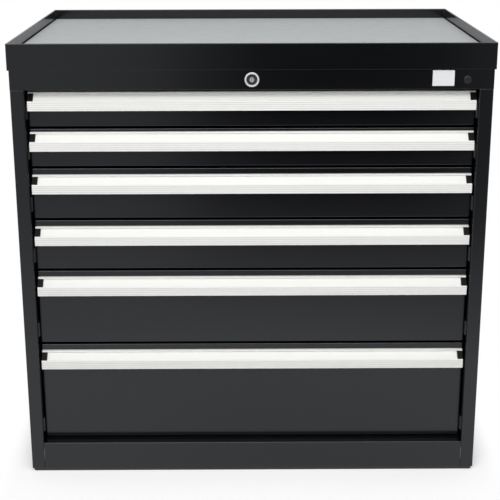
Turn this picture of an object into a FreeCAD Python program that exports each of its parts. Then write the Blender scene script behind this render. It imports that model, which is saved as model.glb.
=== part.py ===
import FreeCAD, Part
import os
import re
import Sketcher
from FreeCAD import Placement, Rotation, Vector

# A six-drawer workshop tool cabinet of folded sheet steel, in millimetres.
# X runs to the right, Y to the back and Z up. The origin is on the floor under the middle of the
# worktop. The posts and rails share the front plane; the drawer fronts stand back behind it.

# Driving sizes: name, value, meaning
SIZES = [
    ("body_width", 874, "outside width over the side panels"),
    ("body_depth", 582, "outside depth, from the posts to the back"),
    ("sheet", 1.2, "carcass sheet"),
    ("bend_radius", 1.5, "outside radius of the visible folds"),
    ("panel_seam", 0.3, "seam between the top rail and the side panels"),
    ("post_width", 25, "front face of a post"),
    ("post_return", 40, "depth of a post's inner wall"),
    ("rear_flange", 20, "side panel's fold behind the back panel"),
    ("bottom_flange", 24, "side panel's fold along the floor"),
    ("base_height", 6, "flat bars of the set-back frame on the floor"),
    ("base_inset", 2, "base frame behind the panels"),
    ("base_width", 30, "width of the base frame's bars"),
    ("base_corner", 6, "corner radius of the base frame"),
    ("plinth_height", 54.7, "plinth panel between the posts"),
    ("plinth_flange", 24, "plinth panel's folds"),
    ("plinth_seam", 0.5, "seam between the plinth panel and a post"),
    ("pan_depth", 25, "folded rim of the base pan"),
    ("rail_height", 60.2, "top front rail"),
    ("rail_flange", 25, "folds of both top rails"),
    ("rail_round", 0.75, "top front rail's lower fold"),
    ("back_rail_height", 30, "top back rail"),
    ("upright_width", 30, "slotted upright, front to back"),
    ("upright_wall", 1.5, "slotted upright's sheet"),
    ("upright_gap", 1, "front upright behind the post's inner wall"),
    ("rear_upright_gap", 24, "rear upright in front of the back panel"),
    ("slot_width", 3, "upright's slot, front to back"),
    ("slot_height", 12, "upright's slot, up and down"),
    ("end_gap", 1.1, "from the plinth to the first drawer's space"),
    ("front_gap", 4.2, "between two drawer fronts"),
    ("pitch_1", 73, "height taken by the top drawer"),
    ("pitch_2", 75, "height taken by the second drawer"),
    ("pitch_3", 100, "height taken by the third drawer"),
    ("pitch_4", 100, "height taken by the fourth drawer"),
    ("pitch_5", 150, "height taken by the fifth drawer"),
    ("pitch_6", 200, "height taken by the bottom drawer"),
    ("front_recess", 25, "drawer fronts behind the posts"),
    ("front_depth", 18, "depth of a folded drawer front"),
    ("front_sheet", 1, "drawer front's sheet"),
    ("front_lip", 16, "drawer front's folds that lie against the tray"),
    ("side_play", 0.5, "drawer front beside the cabinet channels"),
    ("tray_sheet", 1, "drawer tray's sheet"),
    ("tray_lift", 6, "tray bottom above the front's lower edge"),
    ("tray_drop", 6, "tray top below the front's upper edge"),
    ("tray_short", 2.6, "tray's end in front of the rear upright's back edge"),
    ("tray_hem", 6, "folded rim along the tray's top"),
    ("slide_thickness", 13, "a closed slide, side to side"),
    ("slide_height", 28, "cabinet channel"),
    ("slide_lift", 15, "slide above the front's lower edge"),
    ("slide_wall", 1.5, "sheet of the three slide members"),
    ("slide_play", 0.4, "running gap between slide members"),
    ("slide_reveal", 1.2, "gap between a channel and the tray's side"),
    ("slide_start", 1.5, "slides behind the folded front"),
    ("channel_front", 17, "channel's end behind the front plane"),
    ("channel_rear", 3, "channel's end behind the rear upright"),
    ("middle_short", 20, "middle member of a slide, shorter than the tray"),
    ("hang_tab", 6, "channel's tab, through the upright's slot"),
    ("tab_play", 1, "tab in its slot, above and below"),
    ("handle_height", 33.4, "handle profile"),
    ("handle_depth", 19.5, "handle profile, out from the drawer front"),
    ("handle_wall", 2, "handle profile's wall"),
    ("handle_inset", 2, "handle's end beside the front's end"),
    ("handle_rise", 31.9, "handle above the front's lower edge, drawers 1 and 2"),
    ("handle_drop", 11.3, "handle below the front's top, drawers 3 to 6"),
    ("handle_back", 22, "part of the handle that lies on the front"),
    ("lip_depth", 7, "handle's top lip, outward"),
    ("lip_height", 2.6, "handle's top lip, thickness"),
    ("lip_undercut", 2.4, "label groove under the lip"),
    ("label_depth", 4.8, "upper end of the label face, outward"),
    ("label_drop", 5.2, "upper end of the label face, down"),
    ("label_run", 11.2, "label face, outward and down alike"),
    ("ridge_step", 1, "ridge that holds the label's lower edge"),
    ("ridge_width", 1.3, "flat on top of the ridge"),
    ("ridge_round", 1.2, "slope from the ridge to the grip"),
    ("grip_groove_pitch", 3.8, "fine grooves along the grip"),
    ("grip_groove_low", 3.4, "lowest fine groove above the handle's lower edge"),
    ("grip_groove_width", 1.2, "one fine groove"),
    ("grip_groove_depth", 0.9, "one fine groove"),
    ("edge_round", 0.6, "handle's rounded edges"),
    ("label_thickness", 0.6, "label strip"),
    ("label_margin", 0.4, "label strip inside its groove"),
    ("cap_width", 10, "plastic cap at each end of the label groove"),
    ("cap_seam", 0.2, "label strip beside a cap"),
    ("lid_overhang", 3, "worktop over the body on all sides"),
    ("lid_sheet", 1.2, "worktop's sheet"),
    ("rim_rise", 22.8, "worktop's rim above its floor"),
    ("rim_thickness", 3, "rim folded back on itself"),
    ("rim_round", 1.2, "rounded top of the rim"),
    ("skirt_drop", 24, "worktop's skirt below its floor"),
    ("lid_corner", 2, "worktop's corners"),
    ("mat_thickness", 3, "worktop mat"),
    ("mat_gap", 3, "mat beside the rim"),
    ("mat_corner", 4, "mat's corners"),
    ("lock_height", 18.6, "lock above the rail's lower edge"),
    ("bezel_diameter", 26.5, "bright ring of the lock"),
    ("bezel_proud", 2.5, "ring in front of the rail"),
    ("bezel_chamfer", 0.8, "chamfer round the ring"),
    ("recess_diameter", 20.5, "dished middle of the ring"),
    ("recess_depth", 1.8, "dished middle of the ring"),
    ("recess_slope", 0.9, "dished middle's sloping wall"),
    ("barrel_diameter", 19, "lock barrel"),
    ("barrel_length", 26, "lock barrel behind the rail's face"),
    ("barrel_play", 0.15, "gap round the barrel, and round the hole plug's stem"),
    ("plug_diameter", 10, "turning plug"),
    ("plug_play", 0.05, "running gap of the plug on its radius"),
    ("plug_set_back", 0.4, "plug behind the ring's face"),
    ("plug_tail", 1, "plug behind the barrel"),
    ("key_slot_width", 2, "key slot"),
    ("key_slot_height", 7, "key slot"),
    ("key_slot_depth", 9, "key slot"),
    ("tang_width", 5, "square end of the plug"),
    ("cam_thickness", 2.5, "cam on the plug"),
    ("cam_radius", 7.5, "cam round the plug"),
    ("cam_tip_radius", 4.5, "cam round its pin"),
    ("pin_diameter", 4, "cam's pin"),
    ("pin_length", 9.5, "cam's pin"),
    ("lock_lift", 12, "lift of the lock bar over a quarter turn"),
    ("pin_play", 0.6, "pin in the arm's slot"),
    ("arm_gap", 5.5, "lock bar's arm behind the cam"),
    ("arm_thickness", 2.5, "lock bar's arm"),
    ("arm_height", 14, "lock bar's arm"),
    ("arm_end", 5, "arm past its slot"),
    ("bar_wall_gap", 4.8, "lock bar beside the side panel"),
    ("bar_gap", 4, "lock bar behind the front upright"),
    ("bar_thickness", 3, "lock bar"),
    ("bar_width", 20, "lock bar"),
    ("bar_tail", 20, "lock bar below its lowest hook"),
    ("hook_width", 12, "lock bar's hooks, front to back"),
    ("hook_height", 6, "lock bar's hooks"),
    ("hook_rise", 2, "hook above the slide"),
    ("hook_clear", 3, "hook beside the tray"),
    ("catch_rise", 3, "tray's catch above the hook at rest"),
    ("catch_height", 6, "tray's catch"),
    ("catch_reach", 9, "tray's catch, sideways"),
    ("catch_sheet", 1.5, "tray's catch, front to back"),
    ("catch_gap", 3, "catch behind the hook"),
    ("guide_play", 0.4, "lock bar in its guides"),
    ("guide_wall", 2, "guide round the lock bar"),
    ("guide_height", 14, "guide"),
    ("guide_rise", 25, "guide above a hook"),
    ("stopper_inset", 48, "hole plug from the cabinet's side"),
    ("stopper_drop", 1.5, "hole plug below the lock's axis"),
    ("stopper_diameter", 14, "hole plug's head"),
    ("stopper_proud", 1.6, "hole plug's head"),
    ("stopper_slope", 1.6, "sloping edge of the hole plug's head"),
    ("stopper_rim", 0.5, "hole plug's head at its rim"),
    ("stopper_stem", 10, "hole plug's stem"),
    ("stopper_depth", 7, "hole plug's stem behind the rail's face"),
]

# Places worked out from the driving sizes
PLACES = {
    "half_width": "body_width / 2",
    "inner_half": "half_width - sheet",
    "opening_half": "half_width - post_width",
    "tray_half": "opening_half - slide_thickness",
    "front_half": "opening_half - slide_wall - side_play",
    "handle_half": "front_half - handle_inset",
    "front_plane": "-body_depth / 2",
    "back_plane": "body_depth / 2",
    "back_inner": "back_plane - 2 * sheet",
    "face_plane": "front_plane + front_recess",
    "plinth_top": "base_height + plinth_height",
    "bottom_6": "plinth_top + end_gap + front_gap / 2",
    "bottom_5": "bottom_6 + pitch_6",
    "bottom_4": "bottom_5 + pitch_5",
    "bottom_3": "bottom_4 + pitch_4",
    "bottom_2": "bottom_3 + pitch_3",
    "bottom_1": "bottom_2 + pitch_2",
    "rail_bottom": "bottom_1 + pitch_1 - front_gap / 2",
    "carcass_top": "rail_bottom + rail_height",
    "front_upright": "front_plane + post_return + upright_gap",
    "rear_upright": "back_inner - rear_upright_gap - upright_width",
    "tray_length": "rear_upright + upright_width - tray_short - face_plane - front_depth",
    "slide_middle": "slide_lift + slide_height / 2",
    "slide_top": "slide_lift + slide_height",
    "channel_tip": "tray_half + slide_reveal",
    "middle_web": "opening_half - slide_wall - slide_play",
    "runner_tip": "middle_web - slide_wall - slide_play",
    "label_low": "label_drop + label_run",
    "label_out": "label_depth + label_run",
    "ridge_low": "label_low - ridge_step",
    "inner_slope": "label_drop - label_depth + handle_wall * sqrt(2)",
    "lid_half_width": "half_width + lid_overhang",
    "lid_half_depth": "body_depth / 2 + lid_overhang",
    "lock_z": "rail_bottom + lock_height",
    "stopper_x": "half_width - stopper_inset",
    "stopper_z": "lock_z - stopper_drop",
    "cam_plane": "front_plane + barrel_length + plug_tail",
    "pin_throw": "lock_lift / sqrt(2)",
    "arm_plane": "cam_plane + cam_thickness + arm_gap",
    "arm_middle": "lock_z - lock_lift / 2",
    "arm_bottom": "arm_middle - arm_height / 2",
    "arm_top": "arm_middle + arm_height / 2",
    "arm_right": "pin_throw + pin_diameter / 2 + pin_play + arm_end",
    "bar_left": "-(inner_half - bar_wall_gap)",
    "bar_front": "front_upright + upright_width + bar_gap",
    "bar_rear": "bar_front + bar_width",
    "hook_low": "slide_top + hook_rise",
    "catch_low": "hook_low + hook_height + catch_rise",
    "catch_front": "bar_front + hook_width + catch_gap - face_plane",
}

DRAWERS = range(1, 7)
SHALLOW_DRAWERS = (1, 2)
GUIDED_HOOKS = (6, 4, 2)
GRIP_GROOVES = range(1, 5)
CAM_REST_ANGLE = 45

# How each direction is drawn: the origin plane, and the side of it that the direction leaves from
DIRECTIONS = {
    "X": ("YZ_Plane", 1),
    "Y": ("XZ_Plane", -1),
    "Z": ("XY_Plane", 1),
}

ALIASES = {alias for alias, value, meaning in SIZES}

doc = FreeCAD.newDocument("ToolCabinet")
nodes = []


def formula(text):
    """Turn a formula of size and place names into an expression that reads the sheet."""
    def read(match):
        word = match.group()
        if word in PLACES:
            return "(" + formula(PLACES[word]) + ")"
        if word in ALIASES:
            return "Sizes." + word
        return word
    return re.sub(r"[a-z][a-z_0-9]*", read, str(text))


def fill_sheet():
    """Write the driving sizes into the document's sheet."""
    sheet = doc.addObject("Spreadsheet::Sheet", "Sizes")
    for row, (alias, value, meaning) in enumerate(SIZES, start=1):
        sheet.set(f"A{row}", meaning)
        sheet.set(f"B{row}", str(value))
        sheet.setAlias(f"B{row}", alias)
    doc.recompute()
    return sheet


def value_of(text):
    """The number that a formula gives with the sizes now in the sheet."""
    return float(sheet.evalExpression(formula(text)))


def keep(piece, label):
    """Name a finished piece, so that it is written to its own file."""
    piece.Label = label
    nodes.append(piece)
    return piece


def place(piece, x=None, y=None, z=None):
    """Bind a piece's place to formulas."""
    for axis, text in (("x", x), ("y", y), ("z", z)):
        if text is not None:
            piece.setExpression(f"Placement.Base.{axis}", formula(text))
    return piece


def new_body(name):
    """An empty body for one solid."""
    return doc.addObject("PartDesign::Body", name)


def new_sketch(body, axis, start):
    """An empty sketch square to an axis, at a distance along it."""
    role, side = DIRECTIONS[axis]
    plane = [feature for feature in body.Origin.OriginFeatures if feature.Role == role][0]
    sketch = body.newObject("Sketcher::SketchObject", body.Name + "_sketch")
    sketch.AttachmentSupport = [(plane, "")]
    sketch.MapMode = "FlatFace"
    sketch.setExpression("AttachmentOffset.Base.z", formula(f"{side} * ({start})"))
    return sketch


def pin_point(sketch, line, x, y):
    """Hold the start of a line at two formulas from the sketch's origin."""
    for kind, text in (("DistanceX", x), ("DistanceY", y)):
        index = sketch.addConstraint(Sketcher.Constraint(kind, -1, 1, line, 1, value_of(text)))
        sketch.setExpression(f"Constraints[{index}]", formula(text))


def draw_loop(sketch, corners):
    """Draw one closed outline through its corners."""
    points = [Vector(value_of(x), value_of(y), 0) for x, y in corners]
    first = sketch.GeometryCount
    count = len(corners)
    for number in range(count):
        sketch.addGeometry(Part.LineSegment(points[number], points[(number + 1) % count]))
    for number, (x, y) in enumerate(corners):
        following = first + (number + 1) % count
        sketch.addConstraint(Sketcher.Constraint("Coincident", first + number, 2, following, 1))
        pin_point(sketch, first + number, x, y)


def draw_circle(sketch, x, y, diameter):
    """Draw one circle."""
    centre = Vector(value_of(x), value_of(y), 0)
    radius = value_of(f"({diameter}) / 2")
    line = sketch.addGeometry(Part.Circle(centre, Vector(0, 0, 1), radius))
    for kind, text in (("DistanceX", x), ("DistanceY", y)):
        index = sketch.addConstraint(Sketcher.Constraint(kind, -1, 1, line, 3, value_of(text)))
        sketch.setExpression(f"Constraints[{index}]", formula(text))
    index = sketch.addConstraint(Sketcher.Constraint("Diameter", line, 2 * radius))
    sketch.setExpression(f"Constraints[{index}]", formula(diameter))


def raise_solid(body, axis, sketch, length):
    """Pad a sketch towards the far end of its axis."""
    pad = body.newObject("PartDesign::Pad", body.Name + "_pad")
    pad.Profile = sketch
    pad.Reversed = DIRECTIONS[axis][1] < 0
    pad.setExpression("Length", formula(length))
    return pad


def cut_solid(body, axis, sketch, length):
    """Pocket a sketch towards the far end of its axis."""
    pocket = body.newObject("PartDesign::Pocket", body.Name + "_pocket")
    pocket.Profile = sketch
    pocket.Reversed = DIRECTIONS[axis][1] > 0
    pocket.setExpression("Length", formula(length))
    return pocket


def extrude(body, axis, corners, start, length):
    """Add the solid that an outline sweeps along an axis."""
    sketch = new_sketch(body, axis, start)
    draw_loop(sketch, corners)
    return raise_solid(body, axis, sketch, length)


def cut(body, axis, loops, start, length):
    """Take away what one or more outlines sweep along an axis."""
    sketch = new_sketch(body, axis, start)
    for corners in loops:
        draw_loop(sketch, corners)
    return cut_solid(body, axis, sketch, length)


def extrude_round(body, axis, x, y, diameter, start, length):
    """Add a round bar along an axis."""
    sketch = new_sketch(body, axis, start)
    draw_circle(sketch, x, y, diameter)
    return raise_solid(body, axis, sketch, length)


def drill(body, axis, x, y, diameter, start, length):
    """Drill a round hole along an axis."""
    sketch = new_sketch(body, axis, start)
    draw_circle(sketch, x, y, diameter)
    return cut_solid(body, axis, sketch, length)


def turn(body, corners):
    """Turn a section, given as radius and distance along Y, about the body's own Y axis."""
    sketch = new_sketch(body, "Z", "0")
    draw_loop(sketch, corners)
    turned = body.newObject("PartDesign::Revolution", body.Name + "_turned")
    turned.Profile = sketch
    turned.ReferenceAxis = (sketch, ["V_Axis"])
    turned.Angle = 360
    return turned


def round_edges(body, radius, points):
    """Round the straight edges that pass through the given points, each a triple of formulas."""
    doc.recompute()
    base = body.Tip
    spots = [Vector(*(value_of(text) for text in point)) for point in points]
    names = []
    for number, edge in enumerate(base.Shape.Edges, start=1):
        if any(edge.distToShape(Part.Vertex(spot))[0] < 1e-4 for spot in spots):
            names.append(f"Edge{number}")
    fillet = body.newObject("PartDesign::Fillet", body.Name + "_fillet")
    fillet.Base = (base, names)
    fillet.setExpression("Radius", formula(radius))
    return fillet


def rectangle(x0, y0, x1, y1):
    """The corners of a rectangle."""
    return [(x0, y0), (x1, y0), (x1, y1), (x0, y1)]


def channel_section(web, web_inner, tip, low, high, wall):
    """The corners of a channel whose web runs from low to high and whose flanges reach to tip."""
    return [
        (tip, low),
        (web, low),
        (web, high),
        (tip, high),
        (tip, f"{high} - {wall}"),
        (web_inner, f"{high} - {wall}"),
        (web_inner, f"{low} + {wall}"),
        (tip, f"{low} + {wall}"),
    ]


def mirrored(piece, normal=Vector(1, 0, 0)):
    """The same piece on the other side of the cabinet."""
    mirror = doc.addObject("Part::Mirroring", piece.Name + "_mirrored")
    mirror.Source = piece
    mirror.Base = Vector(0, 0, 0)
    mirror.Normal = normal
    return mirror


def group(label, pieces):
    """Several separate solids that share one name."""
    together = doc.addObject("Part::Compound", label)
    together.Links = pieces
    return keep(together, label)


def pair(label, piece):
    """A piece and its twin on the other side."""
    return group(label, [piece, mirrored(piece)])


def make_side_panels():
    """Each side panel is one sheet, folded into the post in front and into flanges behind and below."""
    body = new_body("right_side_panel")
    extrude(body, "Z", [
        ("opening_half", "front_plane"),
        ("half_width", "front_plane"),
        ("half_width", "back_plane"),
        ("half_width - rear_flange", "back_plane"),
        ("half_width - rear_flange", "back_plane - sheet"),
        ("inner_half", "back_plane - sheet"),
        ("inner_half", "front_plane + sheet"),
        ("opening_half + sheet", "front_plane + sheet"),
        ("opening_half + sheet", "front_plane + post_return"),
        ("opening_half", "front_plane + post_return"),
    ], "base_height", "carcass_top - base_height")
    extrude(body, "Z", rectangle("half_width - bottom_flange", "front_plane + sheet / 2",
                                 "inner_half + sheet / 2", "back_plane - sheet"),
            "base_height", "sheet")
    cut(body, "Z", [[
        ("opening_half - sheet", "front_plane - sheet"),
        ("half_width + sheet", "front_plane - sheet"),
        ("half_width + sheet", "front_plane + sheet + panel_seam"),
        ("inner_half", "front_plane + sheet + panel_seam"),
        ("inner_half", "front_plane + post_return + sheet"),
        ("opening_half - sheet", "front_plane + post_return + sheet"),
    ]], "rail_bottom - panel_seam", "rail_height + 2 * panel_seam")
    post_middle = "(base_height + rail_bottom) / 2"
    round_edges(body, "bend_radius", [
        ("half_width", "front_plane", post_middle),
        ("opening_half", "front_plane", post_middle),
        ("half_width", "back_plane", post_middle),
    ])
    keep(body, "right_side_panel")
    keep(mirrored(body), "left_side_panel")


def make_back_panel():
    """A flat sheet between the side panels' rear flanges and the uprights."""
    panel = doc.addObject("Part::Box", "back_panel")
    panel.setExpression("Length", formula("2 * inner_half - 2 * panel_seam"))
    panel.setExpression("Width", formula("sheet"))
    panel.setExpression("Height", formula("carcass_top - base_height - sheet"))
    place(panel, "panel_seam - inner_half", "back_inner", "base_height + sheet")
    keep(panel, "back_panel")


def make_base():
    """The base frame of four flat bars on the floor, the base pan and the plinth panel."""
    outer_x = "half_width - base_inset"
    outer_y = "back_plane - base_inset"
    inner_x = f"{outer_x} - base_width"
    inner_y = f"{outer_y} - base_width"
    long_bar = new_body("base_long_bar")
    extrude(long_bar, "Z", rectangle(f"-({outer_x})", f"-({outer_y})", outer_x, f"-({inner_y})"),
            "0", "base_height")
    round_edges(long_bar, "base_corner", [
        (f"{x} * ({outer_x})", f"-({outer_y})", "base_height / 2") for x in (-1, 1)
    ])
    side_bar = new_body("base_side_bar")
    extrude(side_bar, "Z", rectangle(inner_x, f"-({inner_y})", outer_x, inner_y),
            "0", "base_height")
    group("base_frame", [
        long_bar, mirrored(long_bar, Vector(0, 1, 0)), side_bar, mirrored(side_bar),
    ])

    pan = new_body("base_pan")
    pan_front = "front_plane + plinth_flange"
    extrude(pan, "Z", rectangle("-opening_half", pan_front, "opening_half", "back_inner"),
            "plinth_top - pan_depth", "pan_depth")
    cut(pan, "Z", [rectangle("sheet - opening_half", f"{pan_front} + sheet",
                             "opening_half - sheet", "back_inner - sheet")],
        "plinth_top - pan_depth", "pan_depth - sheet")
    keep(pan, "base_pan")

    plinth = new_body("plinth_panel")
    half = "opening_half - plinth_seam"
    extrude(plinth, "X",
            channel_section("front_plane", "front_plane + sheet", "front_plane + plinth_flange",
                            "base_height", "plinth_top", "sheet"),
            f"-({half})", f"2 * ({half})")
    round_edges(plinth, "bend_radius", [("0", "front_plane", "plinth_top")])
    keep(plinth, "plinth_panel")


def make_top_rails():
    """The front rail closes the carcass over the posts; the back rail carries the worktop behind."""
    rail = new_body("top_front_rail")
    extrude(rail, "X",
            channel_section("front_plane", "front_plane + sheet", "front_plane + rail_flange",
                            "rail_bottom", "carcass_top", "sheet"),
            "-inner_half", "2 * inner_half")
    extrude(rail, "X",
            rectangle("front_plane", "rail_bottom", "front_plane + sheet", "carcass_top"),
            "-half_width", "body_width")
    round_edges(rail, "rail_round", [("0", "front_plane", "rail_bottom")])
    drill(rail, "Y", "0", "lock_z", "barrel_diameter + 2 * barrel_play", "front_plane", "2 * sheet")
    drill(rail, "Y", "stopper_x", "stopper_z", "stopper_stem + 2 * barrel_play",
          "front_plane", "2 * sheet")
    keep(rail, "top_front_rail")

    back = new_body("top_back_rail")
    extrude(back, "X",
            channel_section("back_inner", "back_inner - sheet", "back_inner - rail_flange",
                            "carcass_top - back_rail_height", "carcass_top", "sheet"),
            "-inner_half", "2 * inner_half")
    keep(back, "top_back_rail")


def make_uprights():
    """Four slotted uprights that the cabinet channels hang in."""
    uprights = []
    for name, front in (("front_upright", "front_upright"), ("rear_upright", "rear_upright")):
        body = new_body(name)
        web = "opening_half + upright_wall"
        rear = f"{front} + upright_width"
        extrude(body, "Z", [
            ("opening_half", front),
            ("inner_half", front),
            ("inner_half", f"{front} + upright_wall"),
            (web, f"{front} + upright_wall"),
            (web, f"{rear} - upright_wall"),
            ("inner_half", f"{rear} - upright_wall"),
            ("inner_half", rear),
            ("opening_half", rear),
        ], "base_height + sheet", "rail_bottom - base_height - 2 * sheet")
        middle = f"{front} + upright_width / 2"
        slots = []
        for number in DRAWERS:
            height = f"bottom_{number} + slide_middle"
            slots.append(rectangle(f"{middle} - slot_width / 2", f"{height} - slot_height / 2",
                                   f"{middle} + slot_width / 2", f"{height} + slot_height / 2"))
        cut(body, "X", slots, "opening_half - upright_wall", "3 * upright_wall")
        uprights.extend([body, mirrored(body)])
    group("slotted_uprights", uprights)


def make_cabinet_channels():
    """The fixed members of the slides: a channel with a tab in each upright, two to a drawer."""
    channels = []
    for number in DRAWERS:
        body = new_body(f"channel_{number}")
        start = "front_depth + slide_start"
        end = "rear_upright + upright_width + channel_rear - face_plane"
        tab_start = "channel_front - front_recess"
        web = "opening_half - slide_wall"
        extrude(body, "Y",
                channel_section("opening_half", web, "channel_tip", "slide_lift", "slide_top",
                                "slide_wall"),
                start, f"{end} - ({start})")
        extrude(body, "Y", rectangle(web, "slide_lift", "opening_half", "slide_top"),
                tab_start, f"{start} - ({tab_start}) + slide_wall")
        for upright in ("front_upright", "rear_upright"):
            extrude(body, "Y",
                    rectangle(f"{web} + slide_wall / 2",
                              "slide_middle - slot_height / 2 + tab_play",
                              "opening_half + hang_tab",
                              "slide_middle + slot_height / 2 - tab_play"),
                    f"{upright} + upright_width / 2 - slide_wall / 2 - face_plane", "slide_wall")
        place(body, y="face_plane", z=f"bottom_{number}")
        channels.extend([body, mirrored(body)])
    group("cabinet_channels", channels)


def make_worktop():
    """The folded worktop with its raised rim and skirt, and the mat that lies in it."""
    lid = new_body("worktop_tray")
    rim_top = "carcass_top + lid_sheet + rim_rise"
    skirt_low = "carcass_top - skirt_drop"
    extrude(lid, "Z", rectangle("-lid_half_width", "-lid_half_depth",
                                "lid_half_width", "lid_half_depth"),
            skirt_low, f"{rim_top} - ({skirt_low})")
    cut(lid, "Z", [rectangle("rim_thickness - lid_half_width", "rim_thickness - lid_half_depth",
                             "lid_half_width - rim_thickness", "lid_half_depth - rim_thickness")],
        "carcass_top + lid_sheet", "rim_rise")
    cut(lid, "Z", [rectangle("lid_sheet - lid_half_width", "lid_sheet - lid_half_depth",
                             "lid_half_width - lid_sheet", "lid_half_depth - lid_sheet")],
        skirt_low, "skirt_drop")
    round_edges(lid, "lid_corner", [
        (f"{x} * lid_half_width", f"{y} * lid_half_depth", "carcass_top")
        for x in (-1, 1) for y in (-1, 1)
    ])
    sides = [("0", "lid_half_depth"), ("lid_half_width", "0"), ("0", "-lid_half_depth"),
             ("-lid_half_width", "0")]
    inner_sides = [("0", "lid_half_depth - rim_thickness"), ("lid_half_width - rim_thickness", "0"),
                   ("0", "rim_thickness - lid_half_depth"), ("rim_thickness - lid_half_width", "0")]
    round_edges(lid, "rim_round", [(x, y, rim_top) for x, y in sides + inner_sides])
    keep(lid, "worktop_tray")

    mat = new_body("worktop_mat")
    half_x = "lid_half_width - rim_thickness - mat_gap"
    half_y = "lid_half_depth - rim_thickness - mat_gap"
    extrude(mat, "Z", rectangle(f"-({half_x})", f"-({half_y})", half_x, half_y),
            "carcass_top + lid_sheet", "mat_thickness")
    round_edges(mat, "mat_corner", [
        (f"{x} * ({half_x})", f"{y} * ({half_y})", "carcass_top + lid_sheet + mat_thickness / 2")
        for x in (-1, 1) for y in (-1, 1)
    ])
    keep(mat, "worktop_mat")


def make_lock():
    """The lock in the top rail: a fixed housing, a turning plug and the cam on its square end."""
    bore = "plug_diameter / 2 + plug_play"
    housing = new_body("lock_housing")
    turn(housing, [
        (bore, "recess_depth - bezel_proud"),
        ("recess_diameter / 2 - recess_slope", "recess_depth - bezel_proud"),
        ("recess_diameter / 2", "-bezel_proud"),
        ("bezel_diameter / 2 - bezel_chamfer", "-bezel_proud"),
        ("bezel_diameter / 2", "bezel_chamfer - bezel_proud"),
        ("bezel_diameter / 2", "0"),
        ("barrel_diameter / 2", "0"),
        ("barrel_diameter / 2", "barrel_length"),
        (bore, "barrel_length"),
    ])
    place(housing, "0", "front_plane", "lock_z")
    keep(housing, "lock_housing")

    plug = new_body("lock_plug")
    plug_front = "plug_set_back - bezel_proud"
    extrude_round(plug, "Y", "0", "0", "plug_diameter", plug_front,
                  f"barrel_length + plug_tail - ({plug_front})")
    extrude(plug, "Y", rectangle("-tang_width / 2", "-tang_width / 2",
                                 "tang_width / 2", "tang_width / 2"),
            "barrel_length", "plug_tail + cam_thickness")
    cut(plug, "Y", [rectangle("-key_slot_width / 2", "-key_slot_height / 2",
                              "key_slot_width / 2", "key_slot_height / 2")],
        plug_front, "key_slot_depth")
    place(plug, "0", "front_plane", "lock_z")
    keep(plug, "lock_plug")

    cam = new_body("lock_cam")
    extrude_round(cam, "Y", "0", "0", "2 * cam_radius", "0", "cam_thickness")
    extrude(cam, "Y", rectangle("0", "-cam_tip_radius", "pin_throw", "cam_tip_radius"),
            "0", "cam_thickness")
    extrude_round(cam, "Y", "pin_throw", "0", "2 * cam_tip_radius", "0", "cam_thickness")
    extrude_round(cam, "Y", "pin_throw", "0", "pin_diameter", "cam_thickness / 2",
                  "cam_thickness / 2 + pin_length")
    half = "tang_width / 2"
    turned_x = f"{half} * sqrt(2)"
    cut(cam, "Y", [[(turned_x, "0"), ("0", turned_x), (f"-({turned_x})", "0"),
                    ("0", f"-({turned_x})")]], "0", "cam_thickness")
    cam.Placement = Placement(Vector(0, 0, 0), Rotation(Vector(0, 1, 0), CAM_REST_ANGLE))
    place(cam, "0", "cam_plane", "lock_z")
    keep(cam, "lock_cam")


def make_lock_bar():
    """The bar that the cam lifts: an arm behind the rail, a strip down the side and a hook per drawer."""
    bar = new_body("lock_bar")
    right = "bar_left + bar_thickness"
    lowest = "bottom_6 + hook_low - bar_tail"
    extrude(bar, "Z", rectangle("bar_left", "bar_front", right, "bar_rear"),
            lowest, f"arm_top - ({lowest})")
    extrude(bar, "Z", rectangle("bar_left", "arm_plane", right, "bar_rear"),
            "arm_bottom", "arm_height")
    extrude(bar, "Z", rectangle("bar_left", "arm_plane", "arm_right", "arm_plane + arm_thickness"),
            "arm_bottom", "arm_height")
    for number in DRAWERS:
        extrude(bar, "Z", rectangle("bar_left", "bar_front", "-(tray_half + hook_clear)",
                                    "bar_front + hook_width"),
                f"bottom_{number} + hook_low", "hook_height")
    slot_half = "pin_diameter / 2 + pin_play"
    cut(bar, "Y", [rectangle(f"lock_lift / 2 - ({slot_half})", f"arm_middle - ({slot_half})",
                             f"pin_throw + {slot_half}", f"arm_middle + {slot_half}")],
        "arm_plane", "arm_thickness")
    keep(bar, "lock_bar")

    guides = []
    for number in GUIDED_HOOKS:
        guide = new_body(f"guide_{number}")
        extrude(guide, "Z", rectangle("-inner_half", "bar_front - guide_play - guide_wall",
                                      f"{right} + guide_play + guide_wall",
                                      "bar_rear + guide_play + guide_wall"),
                f"bottom_{number} + hook_low + guide_rise", "guide_height")
        cut(guide, "Z", [rectangle("bar_left - guide_play", "bar_front - guide_play",
                                   f"{right} + guide_play", "bar_rear + guide_play")],
            f"bottom_{number} + hook_low + guide_rise", "guide_height")
        guides.append(guide)
    group("lock_bar_guides", guides)


def make_hole_plug():
    """The black plug that closes the spare hole in the top rail."""
    plug = new_body("hole_plug")
    turn(plug, [
        ("0", "-stopper_proud"),
        ("stopper_diameter / 2 - stopper_slope", "-stopper_proud"),
        ("stopper_diameter / 2", "-stopper_rim"),
        ("stopper_diameter / 2", "0"),
        ("stopper_stem / 2", "0"),
        ("stopper_stem / 2", "stopper_depth"),
        ("0", "stopper_depth"),
    ])
    place(plug, "stopper_x", "front_plane", "stopper_z")
    keep(plug, "hole_plug")


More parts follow.
